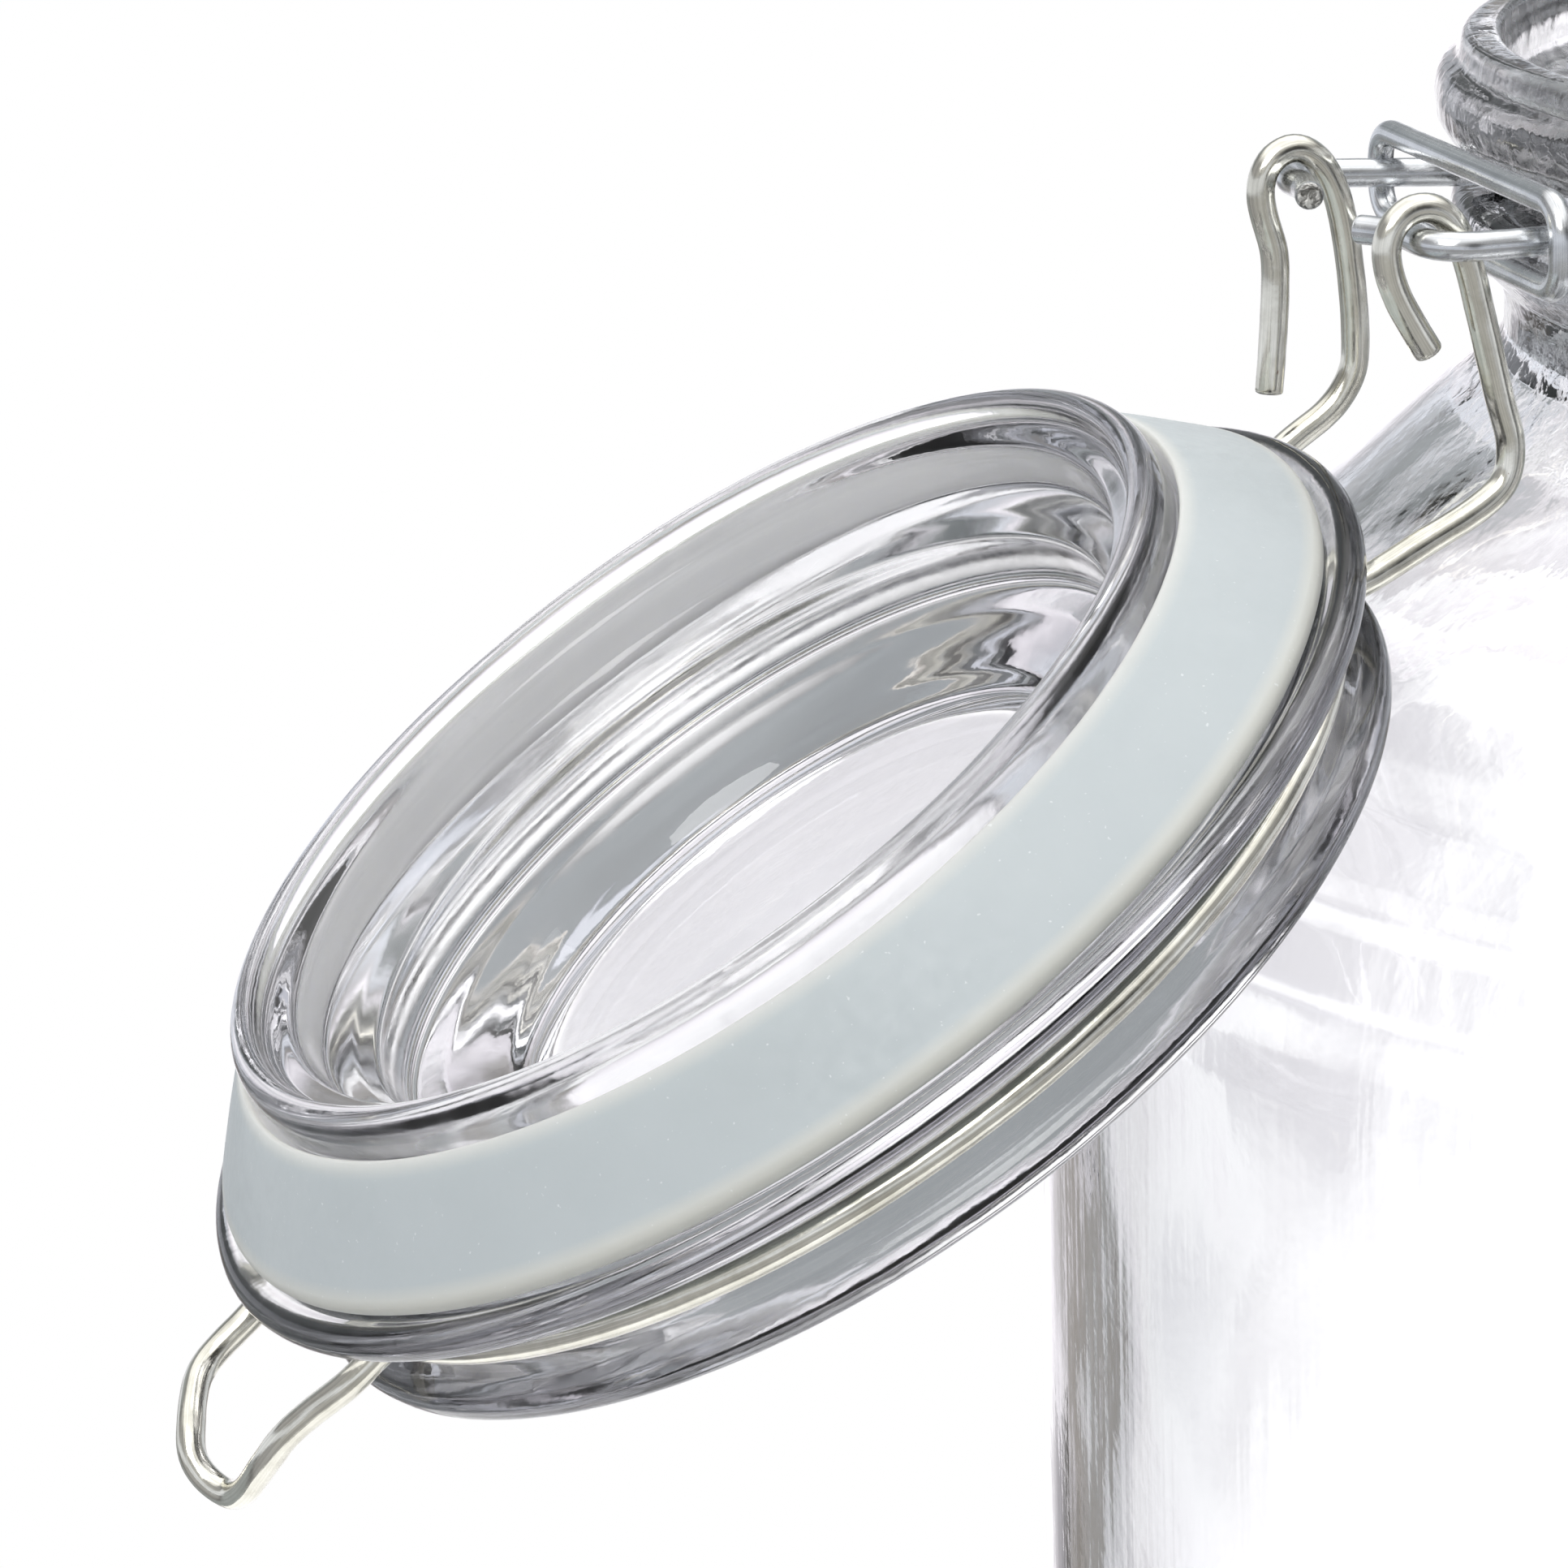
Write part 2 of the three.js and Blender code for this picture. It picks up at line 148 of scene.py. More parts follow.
def angle_list(n, seams=(), reach=3.2, dense=17):
    a = list(np.linspace(0, 2 * np.pi, n, endpoint=False))
    for s in seams:
        c = math.radians(s)
        w = math.radians(reach)
        a = [x for x in a if abs((x - c + np.pi) % (2 * np.pi) - np.pi) > w]
        u = np.linspace(-1, 1, dense)
        a += list((c + w * np.sign(u) * np.abs(u) ** 1.7) % (2 * np.pi))
    return np.array(sorted(a))


def lathe(name, prof, angles, shape=None, closed=False):
    """Body of revolution about Z, mm in, metres out. shape(r, z, a, nr, nz, P) gives an offset along the normal in mm."""
    prof = np.asarray(prof, float)
    n, m = len(prof), len(angles)
    if closed:
        t = np.roll(prof, -1, 0) - np.roll(prof, 1, 0)
    else:
        t = np.gradient(prof, axis=0)
    t /= np.maximum(np.linalg.norm(t, axis=1), 1e-9)[:, None]
    nr, nz = t[:, 1], -t[:, 0]
    r, a = np.meshgrid(prof[:, 0], angles, indexing="ij")
    z = np.repeat(prof[:, 1][:, None], m, 1)
    NR, NZ = np.repeat(nr[:, None], m, 1), np.repeat(nz[:, None], m, 1)
    if shape is not None:
        P = np.stack([r * np.cos(a), r * np.sin(a), z], -1).reshape(-1, 3)
        d = shape(r.ravel(), z.ravel(), a.ravel(), NR.ravel(), NZ.ravel(), P).reshape(r.shape)
        if not closed:
            d[0, :] = d[0, 0]
            d[-1, :] = d[-1, 0]
        r, z = r + d * NR, z + d * NZ
    x, y = r * np.cos(a), r * np.sin(a)
    co = np.stack([x, y, z], -1) * MM
    faces = []
    if closed:
        verts = co.reshape(-1, 3)
        rows = n
        for i in range(rows):
            k = (i + 1) % n
            for j in range(m):
                l = (j + 1) % m
                faces.append((i * m + j, i * m + l, k * m + l, k * m + j))
    else:
        inner = co[1:-1].reshape(-1, 3)
        first = np.array([[0, 0, co[0, 0, 2]]])
        last = np.array([[0, 0, co[-1, 0, 2]]])
        verts = np.vstack([inner, first, last])
        rows = n - 2
        pf, pl = rows * m, rows * m + 1
        for i in range(rows - 1):
            for j in range(m):
                l = (j + 1) % m
                faces.append((i * m + j, i * m + l, (i + 1) * m + l, (i + 1) * m + j))
        for j in range(m):
            l = (j + 1) % m
            faces.append((pf, l, j))
            faces.append((pl, (rows - 1) * m + j, (rows - 1) * m + l))
    return make(name, verts, faces)


def make(name, verts, faces):
    me = bpy.data.meshes.new(name)
    me.from_pydata([tuple(v) for v in verts], [], faces)
    me.update()
    bm = bmesh.new()
    bm.from_mesh(me)
    bmesh.ops.recalc_face_normals(bm, faces=bm.faces)
    bm.to_mesh(me)
    bm.free()
    me.polygons.foreach_set("use_smooth", [True] * len(me.polygons))
    me.update()
    ob = bpy.data.objects.new(name, me)
    bpy.context.scene.collection.objects.link(ob)
    return ob


def V(x, y, z):
    return np.array([x, y, z], float)


def centripetal(points, step):
    pts = [np.array(p, float) for p in points]
    ext = [2 * pts[0] - pts[1]] + pts + [2 * pts[-1] - pts[-2]]
    out = []
    for i in range(len(pts) - 1):
        p0, p1, p2, p3 = ext[i:i + 4]
        d = [max(np.linalg.norm(b - a) ** 0.5, 1e-4) for a, b in ((p0, p1), (p1, p2), (p2, p3))]
        t0, t1 = 0.0, d[0]
        t2, t3 = t1 + d[1], t1 + d[1] + d[2]
        for t in np.linspace(t1, t2, 24, endpoint=False):
            a1 = (t1 - t) / (t1 - t0) * p0 + (t - t0) / (t1 - t0) * p1
            a2 = (t2 - t) / (t2 - t1) * p1 + (t - t1) / (t2 - t1) * p2
            a3 = (t3 - t) / (t3 - t2) * p2 + (t - t2) / (t3 - t2) * p3
            b1 = (t2 - t) / (t2 - t0) * a1 + (t - t0) / (t2 - t0) * a2
            b2 = (t3 - t) / (t3 - t1) * a2 + (t - t1) / (t3 - t1) * a3
            out.append((t2 - t) / (t2 - t1) * b1 + (t - t1) / (t2 - t1) * b2)
    out.append(pts[-1])
    return resample(np.array(out), step)


def bent(entries, per=14):
    """Polyline with round corners: entries are (point, corner radius)."""
    out = []
    n = len(entries)
    for i, (p, r) in enumerate(entries):
        if i == 0 or i == n - 1 or not r:
            out.append(p.copy())
            continue
        a = entries[i - 1][0] - p
        b = entries[i + 1][0] - p
        a, b = a / np.linalg.norm(a), b / np.linalg.norm(b)
        half = math.acos(max(-1, min(1, a @ b))) / 2
        cut = r / math.tan(half)
        c = a + b
        c = c / np.linalg.norm(c) * r / math.sin(half) + p
        s, e = a * cut + p - c, b * cut + p - c
        tot = math.acos(max(-1, min(1, s @ e / (np.linalg.norm(s) * np.linalg.norm(e)))))
        for k in range(per + 1):
            t = k / per
            out.append(s * math.sin((1 - t) * tot) / math.sin(tot) + e * math.sin(t * tot) / math.sin(tot) + c)
    return np.array(out)


def arc(radius, z, a0, a1, step=1.5):
    n = max(1, int(round(abs(a1 - a0) / step)))
    t = np.radians(np.linspace(a0, a1, n + 1))
    return np.stack([radius * np.cos(t), radius * np.sin(t), np.full(n + 1, z)], 1)


def ease(p, step, sigma):
    """Even spacing and soft joins along a wire's centreline, with its ends held."""
    q = resample(np.asarray(p, float), step)
    s = np.stack([gauss(q[:, i], sigma, step) for i in range(3)], 1)
    w = np.clip(np.minimum(np.arange(len(q)), np.arange(len(q))[::-1]) * step / (3 * sigma), 0, 1)[:, None]
    return q * (1 - w) + s * w


def tube(name, path, radius, sides=22, seed=1, closed=False, dents=(), chamfer=0.22):
    """Drawn round wire along path (mm): slight unevenness, sheared ends, and a UV that runs along it in metres."""
    p = np.asarray(path, float)
    n = len(p)
    if closed:
        t = np.roll(p, -1, 0) - np.roll(p, 1, 0)
    else:
        t = np.gradient(p, axis=0)
    t /= np.linalg.norm(t, axis=1)[:, None]
    ref = np.array([0.0, 0.0, 1.0]) if abs(t[0][2]) < 0.8 else np.array([0.0, 1.0, 0.0])
    u = np.cross(t[0], ref)
    u /= np.linalg.norm(u)
    U = [u]
    for i in range(1, n):
        ax = np.cross(t[i - 1], t[i])
        sn = np.linalg.norm(ax)
        v = U[-1]
        if sn > 1e-9:
            ax /= sn
            an = math.atan2(sn, t[i - 1] @ t[i])
            v = v * math.cos(an) + np.cross(ax, v) * math.sin(an) + ax * (ax @ v) * (1 - math.cos(an))
        v = v - t[i] * (v @ t[i])
        U.append(v / np.linalg.norm(v))
    U = np.array(U)
    W = np.cross(t, U)
    twist = np.zeros(n)
    if closed:
        v = U[-1]
        miss = math.atan2(v @ W[0], v @ U[0])
        twist = -miss * np.arange(n) / n
    ang = np.arange(sides) / sides * 2 * np.pi
    A = ang[None, :] + twist[:, None]
    s = lengths(p)
    D = np.cos(A)[..., None] * U[:, None, :] + np.sin(A)[..., None] * W[:, None, :]
    P0 = p[:, None, :] + radius * D
    R = radius * (0.985 + 0.008 * field(P0.reshape(-1, 3), 7.0, seed) + 0.005 * field(P0.reshape(-1, 3), 2.2, seed + 1)).reshape(n, sides)
    R = np.minimum(R, radius)
    for (where, width, depth, direction) in dents:
        dirv = np.array(direction, float)
        dirv /= np.linalg.norm(dirv)
        g = np.exp(-((s - where) / width) ** 2)[:, None]
        R -= depth * g * np.clip(D @ dirv, 0, 1) ** 2
    verts, cut, su, rings = [], [], [], []
    def add_ring(c, rr, sval, cval):
        rings.append(len(verts))
        for q in (c + rr):
            verts.append(q)
            cut.append(cval)
        su.append(sval)
    if not closed:
        e = t[0]
        add_ring(p[0] + e * 0.04, D[0] * radius * 0.45, 0, 1.0)
        add_ring(p[0], D[0] * radius * 0.80, 0, 1.0)
        add_ring(p[0] + e * chamfer * 0.35, D[0] * radius * 0.93, 0, 0.6)
        add_ring(p[0] + e * chamfer, D[0] * R[0][:, None], 0, 0.0)
    body = [i for i in range(n) if closed or chamfer * 1.6 < s[i] < s[-1] - chamfer * 1.6]
    for i in body:
        add_ring(p[i], D[i] * R[i][:, None], s[i], 0.0)
    if not closed:
        e = -t[-1]
        add_ring(p[-1] + e * chamfer, D[-1] * R[-1][:, None], s[-1], 0.0)
        add_ring(p[-1] + e * chamfer * 0.35, D[-1] * radius * 0.93, s[-1], 0.6)
        add_ring(p[-1], D[-1] * radius * 0.80, s[-1], 1.0)
        add_ring(p[-1] + e * 0.04, D[-1] * radius * 0.45, s[-1], 1.0)
    faces, uvs = [], []
    m = len(rings)
    for i in range(m if closed else m - 1):
        k = (i + 1) % m
        s0, s1 = su[i], (su[k] if k else s[-1] + np.linalg.norm(p[0] - p[-1]))
        for j in range(sides):
            l = (j + 1) % sides
            faces.append((rings[i] + j, rings[i] + l, rings[k] + l, rings[k] + j))
            uvs.append(((s0, j / sides), (s0, (j + 1) / sides), (s1, (j + 1) / sides), (s1, j / sides)))
    if not closed:
        for ri, cc, sv in ((0, p[0] + t[0] * 0.07, 0), (m - 1, p[-1] - t[-1] * 0.07, s[-1])):
            verts.append(cc)
            cut.append(1.0)
            c = len(verts) - 1
            for j in range(sides):
                l = (j + 1) % sides
                f = (rings[ri] + j, c, rings[ri] + l) if ri == 0 else (rings[ri] + j, rings[ri] + l, c)
                faces.append(f)
                uvs.append(((sv, j / sides),) * 3)
    verts = np.array(verts) * MM
    me = bpy.data.meshes.new(name)
    me.from_pydata([tuple(v) for v in verts], [], faces)
    layer = me.uv_layers.new(name="UVMap")
    flat = np.array([q for f in uvs for q in f], float)
    flat[:, 0] *= MM
    layer.data.foreach_set("uv", flat.astype(np.float32).ravel())
    at = me.attributes.new("cut", "FLOAT", "POINT")
    at.data.foreach_set("value", np.array(cut, np.float32))
    me.update()
    bm = bmesh.new()
    bm.from_mesh(me)
    bmesh.ops.recalc_face_normals(bm, faces=bm.faces)
    bm.to_mesh(me)
    bm.free()
    me.polygons.foreach_set("use_smooth", [True] * len(me.polygons))
    ob = bpy.data.objects.new(name, me)
    bpy.context.scene.collection.objects.link(ob)
    return ob


# ---------------------------------------------------------------- materials
def new_mat(name):
    m = bpy.data.materials.new(name)
    m.use_nodes = True
    nt = m.node_tree
    for n in list(nt.nodes):
        nt.nodes.remove(n)
    out = nt.nodes.new("ShaderNodeOutputMaterial")
    bs = nt.nodes.new("ShaderNodeBsdfPrincipled")
    nt.links.new(bs.outputs[0], out.inputs["Surface"])
    return m, nt, bs, out


def node(nt, kind, **kw):
    n = nt.nodes.new(kind)
    for k, v in kw.items():
        setattr(n, k, v)
    return n


def noise(nt, vec, scale, detail=3.0, rough=0.5, distortion=0.0):
    n = node(nt, "ShaderNodeTexNoise")
    n.inputs["Scale"].default_value = scale
    n.inputs["Detail"].default_value = detail
    n.inputs["Roughness"].default_value = rough
    n.inputs["Distortion"].default_value = distortion
    nt.links.new(vec, n.inputs["Vector"])
    return n.outputs["Fac"]


def ramp(nt, fac, stops, interp="LINEAR"):
    r = node(nt, "ShaderNodeValToRGB")
    r.color_ramp.interpolation = interp
    els = r.color_ramp.elements
    while len(els) < len(stops):
        els.new(0.5)
    for e, (pos, col) in zip(els, stops):
        e.position = pos
        e.color = (*col, 1) if len(col) == 3 else col
    nt.links.new(fac, r.inputs["Fac"])
    return r.outputs["Color"]


def remap(nt, fac, a, b, c, d):
    m = node(nt, "ShaderNodeMapRange")
    for k, v in zip(("From Min", "From Max", "To Min", "To Max"), (a, b, c, d)):
        m.inputs[k].default_value = v
    nt.links.new(fac, m.inputs["Value"])
    return m.outputs["Result"]


def math_node(nt, op, a, b=None):
    m = node(nt, "ShaderNodeMath", operation=op)
    for i, x in enumerate((a, b)):
        if x is None:
            continue
        if isinstance(x, (int, float)):
            m.inputs[i].default_value = x
        else:
            nt.links.new(x, m.inputs[i])
    return m.outputs[0]


def mix_colour(nt, fac, a, b):
    m = node(nt, "ShaderNodeMix", data_type="RGBA")
    nt.links.new(fac, m.inputs["Factor"])
    for s, v in ((6, a), (7, b)):
        if isinstance(v, tuple):
            m.inputs[s].default_value = (*v, 1)
        else:
            nt.links.new(v, m.inputs[s])
    return m.outputs[2]


def bump(nt, height, strength, distance, normal=None):
    b = node(nt, "ShaderNodeBump")
    b.inputs["Strength"].default_value = strength
    b.inputs["Distance"].default_value = distance
    nt.links.new(height, b.inputs["Height"])
    if normal is not None:
        nt.links.new(normal, b.inputs["Normal"])
    return b.outputs["Normal"]


def obj_coords(nt, scale=(1, 1, 1)):
    tc = node(nt, "ShaderNodeTexCoord")
    if scale == (1, 1, 1):
        return tc.outputs["Object"]
    mp = node(nt, "ShaderNodeMapping")
    mp.inputs["Scale"].default_value = scale
    nt.links.new(tc.outputs["Object"], mp.inputs["Vector"])
    return mp.outputs["Vector"]


def glass_material(name, density, peel, mottled, grain, satin_lo, satin_hi, drawn=0.0):
    m, nt, bs, out = new_mat(name)
    co = obj_coords(nt)
    broad = noise(nt, co, 38.0, 2.0)
    peel_n = noise(nt, co, 420.0, 2.0, 0.55)
    fine = noise(nt, co, 1500.0, 3.0, 0.6)
    scratch = noise(nt, obj_coords(nt, (1900, 260, 1900)), 1.0, 2.0, 0.5, 0.6)
    tint = ramp(nt, broad, [(0.30, (0.975, 0.980, 0.984)), (0.70, (0.996, 0.997, 0.998))])
    nt.links.new(tint, bs.inputs["Base Color"])
    grime = remap(nt, fine, 0.38, 0.78, 0.012, 0.05)
    scr = remap(nt, scratch, 0.66, 0.80, 0.0, 0.05)
    zone = node(nt, "ShaderNodeAttribute", attribute_name="finish")
    frost = node(nt, "ShaderNodeAttribute", attribute_name="frost")
    satin = math_node(nt, "MULTIPLY", remap(nt, peel_n, 0.35, 0.65, satin_lo, satin_hi), frost.outputs["Fac"])
    nt.links.new(math_node(nt, "ADD", math_node(nt, "ADD", grime, scr), satin), bs.inputs["Roughness"])
    bs.inputs["IOR"].default_value = 1.51
    bs.inputs["Transmission Weight"].default_value = 1.0
    bs.inputs["Specular IOR Level"].default_value = 0.5
    mottle = math_node(nt, "MULTIPLY", noise(nt, co, grain, 2.5, 0.5, 0.6), zone.outputs["Fac"])
    n0 = bump(nt, mottle, mottled, 0.0006)
    if drawn:
        lines = noise(nt, obj_coords(nt, (300, 300, 9)), 1.0, 2.5, 0.55, 0.2)
        plain = math_node(nt, "SUBTRACT", 1.0, zone.outputs["Fac"])
        n0 = bump(nt, math_node(nt, "MULTIPLY", lines, plain), drawn, 0.0004, n0)
    n1 = bump(nt, peel_n, peel, 0.0002, n0)
    n2 = bump(nt, fine, 0.02, 0.0001, n1)
    nt.links.new(n2, bs.inputs["Normal"])
    va = node(nt, "ShaderNodeVolumeAbsorption")
    va.inputs["Color"].default_value = (0.770, 0.762, 0.785, 1)
    va.inputs["Density"].default_value = density
    nt.links.new(va.outputs[0], out.inputs["Volume"])
    return m


def silicone_material():
    m, nt, bs, out = new_mat("seal_silicone")
    co = obj_coords(nt)
    at = node(nt, "ShaderNodeAttribute", attribute_name="radius")
    radius = at.outputs["Fac"]
    base = ramp(nt, noise(nt, co, 55.0, 3.0), [(0.30, (0.405, 0.440, 0.450)), (0.55, (0.428, 0.463, 0.474)), (0.75, (0.450, 0.484, 0.494))])
    # painted highlight: the seal's inner and outer rims are mixed toward a pale cream colour by radius, standing in for
    # light glowing through the thin rims
    painted_inner_rim_highlight = remap(nt, radius, 41.9, 40.8, 0.0, 1.0)
    painted_outer_rim_highlight = remap(nt, radius, 46.9, 47.7, 0.0, 1.0)
    painted_rim_highlight = math_node(nt, "MAXIMUM", painted_inner_rim_highlight, painted_outer_rim_highlight)
    col = mix_colour(nt, math_node(nt, "MULTIPLY", painted_rim_highlight, 0.75), base, (0.575, 0.568, 0.515))
    # painted light: the seal's inner face is coloured near white so it reads as lit where it sits in shade behind the
    # plug wall
    inner = node(nt, "ShaderNodeAttribute", attribute_name="inner")
    col = mix_colour(nt, inner.outputs["Fac"], col, (0.96, 0.955, 0.945))
    dust = remap(nt, noise(nt, co, 2600.0, 1.0), 0.74, 0.80, 0.0, 0.5)
    col = mix_colour(nt, dust, col, (0.70, 0.72, 0.72))
    nt.links.new(col, bs.inputs["Base Color"])
    nt.links.new(remap(nt, noise(nt, co, 900.0, 3.0), 0.3, 0.7, 0.42, 0.62), bs.inputs["Roughness"])
    bs.inputs["IOR"].default_value = 1.41
    bs.inputs["Subsurface Weight"].default_value = 0.85
    bs.inputs["Subsurface Radius"].default_value = (1.0, 1.0, 0.95)
    bs.inputs["Subsurface Scale"].default_value = 0.004
    nt.links.new(bump(nt, noise(nt, co, 1400.0, 3.0, 0.6), 0.10, 0.0001), bs.inputs["Normal"])
    return m


def wire_material(name, light, mid, dark, rust, smooth, coarse):
    m, nt, bs, out = new_mat(name)
    uv = node(nt, "ShaderNodeUVMap", uv_map="UVMap")
    sep = node(nt, "ShaderNodeSeparateXYZ")
    nt.links.new(uv.outputs[0], sep.inputs[0])
    turn = math_node(nt, "MULTIPLY", sep.outputs[1], 2 * math.pi)
    ring = node(nt, "ShaderNodeCombineXYZ")
    nt.links.new(math_node(nt, "MULTIPLY", sep.outputs[0], 55.0), ring.inputs[0])
    nt.links.new(math_node(nt, "MULTIPLY", math_node(nt, "COSINE", turn), 7.0), ring.inputs[1])
    nt.links.new(math_node(nt, "MULTIPLY", math_node(nt, "SINE", turn), 7.0), ring.inputs[2])
    drawn = noise(nt, ring.outputs[0], 1.0, 4.0, 0.6)
    co = obj_coords(nt)
    blotch = noise(nt, co, 260.0, 4.0, 0.6)
    pits = noise(nt, co, 2400.0, 2.0, 0.5)
    col = ramp(nt, blotch, [(0.25, dark), (0.50, mid), (0.75, light)])
    lines = remap(nt, drawn, 0.35, 0.65, 0.80, 1.04)
    scaled = node(nt, "ShaderNodeVectorMath", operation="SCALE")
    nt.links.new(col, scaled.inputs[0])
    nt.links.new(lines, scaled.inputs["Scale"])
    speck = remap(nt, noise(nt, co, 1300.0, 2.0, 0.5), 0.755, 0.80, 0.0, rust)
    col = mix_colour(nt, speck, scaled.outputs[0], (0.22, 0.10, 0.045))
    at = node(nt, "ShaderNodeAttribute", attribute_name="cut")
    torn = noise(nt, co, 1500.0, 4.0, 0.65, 1.2)
    sheared = ramp(nt, torn, [(0.34, (0.09, 0.088, 0.08)), (0.50, (0.24, 0.235, 0.22)), (0.60, (0.66, 0.65, 0.62))])
    col = mix_colour(nt, at.outputs["Fac"], col, sheared)
    nt.links.new(col, bs.inputs["Base Color"])
    bs.inputs["Metallic"].default_value = 1.0
    ro = math_node(nt, "ADD", remap(nt, drawn, 0.3, 0.7, smooth, coarse), remap(nt, pits, 0.55, 0.75, 0.0, 0.10))
    ro = math_node(nt, "ADD", ro, math_node(nt, "MULTIPLY", at.outputs["Fac"], 0.30))
    nt.links.new(ro, bs.inputs["Roughness"])
    n1 = bump(nt, drawn, 0.16, 0.00006)
    n2 = bump(nt, pits, 0.10, 0.00005, n1)
    n3 = bump(nt, math_node(nt, "MULTIPLY", torn, at.outputs["Fac"]), 0.7, 0.0003, n2)
    nt.links.new(n3, bs.inputs["Normal"])
    return m


def floor_material():
    m, nt, bs, out = new_mat("pale_floor")
    co = obj_coords(nt)
    nt.links.new(ramp(nt, noise(nt, co, 3.0, 3.0), [(0.3, (0.955, 0.955, 0.958)), (0.7, (0.975, 0.975, 0.976))]), bs.inputs["Base Color"])
    bs.inputs["Roughness"].default_value = 0.9
    bs.inputs["Specular IOR Level"].default_value = 0.0
    return m


GLASS_JAR = glass_material("jar_glass", 22.0, 0.05, 0.22, 400.0, 0.15, 0.30, 0.07)
GLASS_LID = glass_material("lid_glass", 34.0, 0.06, 0.025, 420.0, 0.03, 0.12)
SEAL = silicone_material()
TINNED = wire_material("tinned_wire", (0.86, 0.845, 0.770), (0.76, 0.742, 0.662), (0.58, 0.562, 0.485), 0.8, 0.10, 0.18)
ZINC = wire_material("zinc_wire", (0.80, 0.815, 0.83), (0.70, 0.715, 0.73), (0.54, 0.555, 0.575), 0.35, 0.18, 0.28)


def finish_piece(ob, mat, body, node_name, matrix=None):
    ob.data.materials.clear()
    ob.data.materials.append(mat)
    if matrix is not None:
        ob.data.transform(matrix)
        ob.data.update()
    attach(ob, body)
    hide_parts(node_name)
    return ob


# ---------------------------------------------------------------- jar body
def P(r, rise):
    return (r, PIN_Z + rise)


JAR = [
    (0, 0), (70.0, 0), (74.5, 0.9), (78.6, 3.0), (81.8, 6.4), (83.6, 10.6), (BODY_R, 16.0),
    P(BODY_R, -59.0), P(83.9, -55.0), P(83.0, -50.2), P(81.4, -46.0), P(79.2, -42.4), P(76.2, -38.9),
    P(72.2, -35.4), P(67.6, -31.9), P(63.8, -29.1), P(60.0, -25.9), P(56.0, -22.2), P(52.4, -19.0), P(50.0, -17.0),
    P(48.3, -15.3), P(47.4, -13.5), P(47.3, -11.4), P(47.8, -9.6), P(49.2, -8.2), P(50.6, -6.9), P(51.4, -5.2),
    P(51.5, -4.0), P(51.2, -3.0), P(50.4, -2.45), P(49.6, -2.35), P(46.6, -2.3), P(45.6, -1.8),
    P(NECK_R, -1.2), P(NECK_R, -0.6), P(45.9, 0.3), P(47.0, 0.7), P(50.0, 0.9), P(51.6, 1.6), P(52.5, 3.0),
    P(52.6, 4.6), P(52.35, 5.9), P(51.85, 6.7), P(51.2, 7.05), P(50.9, 7.3), P(50.75, 7.7), P(50.6, 8.6), P(50.25, 9.1),
    P(49.7, RIM_RISE), P(47.95, RIM_RISE),
    P(47.5, 8.9), P(47.2, 4.6), P(46.3, 3.5), P(42.9, 2.7), P(42.0, 1.9), P(41.5, -1.5), P(41.3, -8.0), P(42.0, -12.6), P(44.2, -18.0),
    P(48.6, -22.8), P(57.4, -29.4), P(64.8, -34.7), P(72.6, -41.0), P(76.6, -46.2), P(79.2, -52.6),
    P(BODY_R - WALL, -60.0), (BODY_R - WALL, 18.0), (78.0, 11.6), (74.0, 8.2), (68.5, BASE_T), (0, BASE_T),
]
jar_prof = thin_out(rounded_half(JAR, 0.30), 0.004, 2.0)
JAR_SEAMS = (90.0, 270.0)


def jar_shape(r, z, a, nr, nz, p):
    inner = (nr < -0.15) | ((nz > 0.3) & (r < 80.2) & (z < 20)) | ((z < PIN_Z - 12) & (nz < -0.15) & (z > 30))
    neck = np.clip((z - (PIN_Z - 24)) / 10, 0, 1) * np.clip((PIN_Z + 8.6 - z) / 1.5, 0, 1)
    base = np.clip(z / 4.0, 0, 1)
    d = 0.020 * field(p, 26.0, 11) * base
    d += np.where(inner, 0.085 * field(p, 34.0, 12) + 0.018 * field(p, 11.0, 13), 0.006 * field(p, 8.0, 14)) * base
    d += neck * (0.014 * field(p, 3.6, 15) + 0.016 * field(p, 7.5, 16))
    d *= np.clip((BODY_R - r) / 0.25, 0.0, 1.0) * 0.85 + 0.15 * (inner > 0)
    d *= np.clip((PIN_Z + RIM_RISE - 0.1 - z) / 0.6, 0.0, 1.0)
    for s in JAR_SEAMS:
        off = r * ((a - math.radians(s) + np.pi) % (2 * np.pi) - np.pi)
        on = (~inner) & (z > 14) & (z < PIN_Z + 8)
        d += np.where(on, 0.05 * np.exp(-(off / 0.9) ** 2), 0) * np.clip((BODY_R - 0.1 - r) / 0.2, 0, 1)
    return d


jar = lathe("jar_glass_body", jar_prof, angle_list(400), jar_shape)
jz = np.array([v.co.z / MM for v in jar.data.vertices])
jar.data.attributes.new("finish", "FLOAT", "POINT").data.foreach_set("value", np.clip((jz - (PIN_Z - 22)) / 6, 0, 1).astype(np.float32))
jr = np.array([math.hypot(v.co.x, v.co.y) / MM for v in jar.data.vertices])
bore = np.clip((48.1 - jr) / 0.3, 0, 1) * (jr < 48.1) * np.clip((jz - (PIN_Z - 9)) / 4, 0, 1) * ((jz > PIN_Z + 1.2) | (jr < 44.0))
jar.data.attributes.new("frost", "FLOAT", "POINT").data.foreach_set("value", bore.astype(np.float32))
finish_piece(jar, GLASS_JAR, "jar", "jar_body")

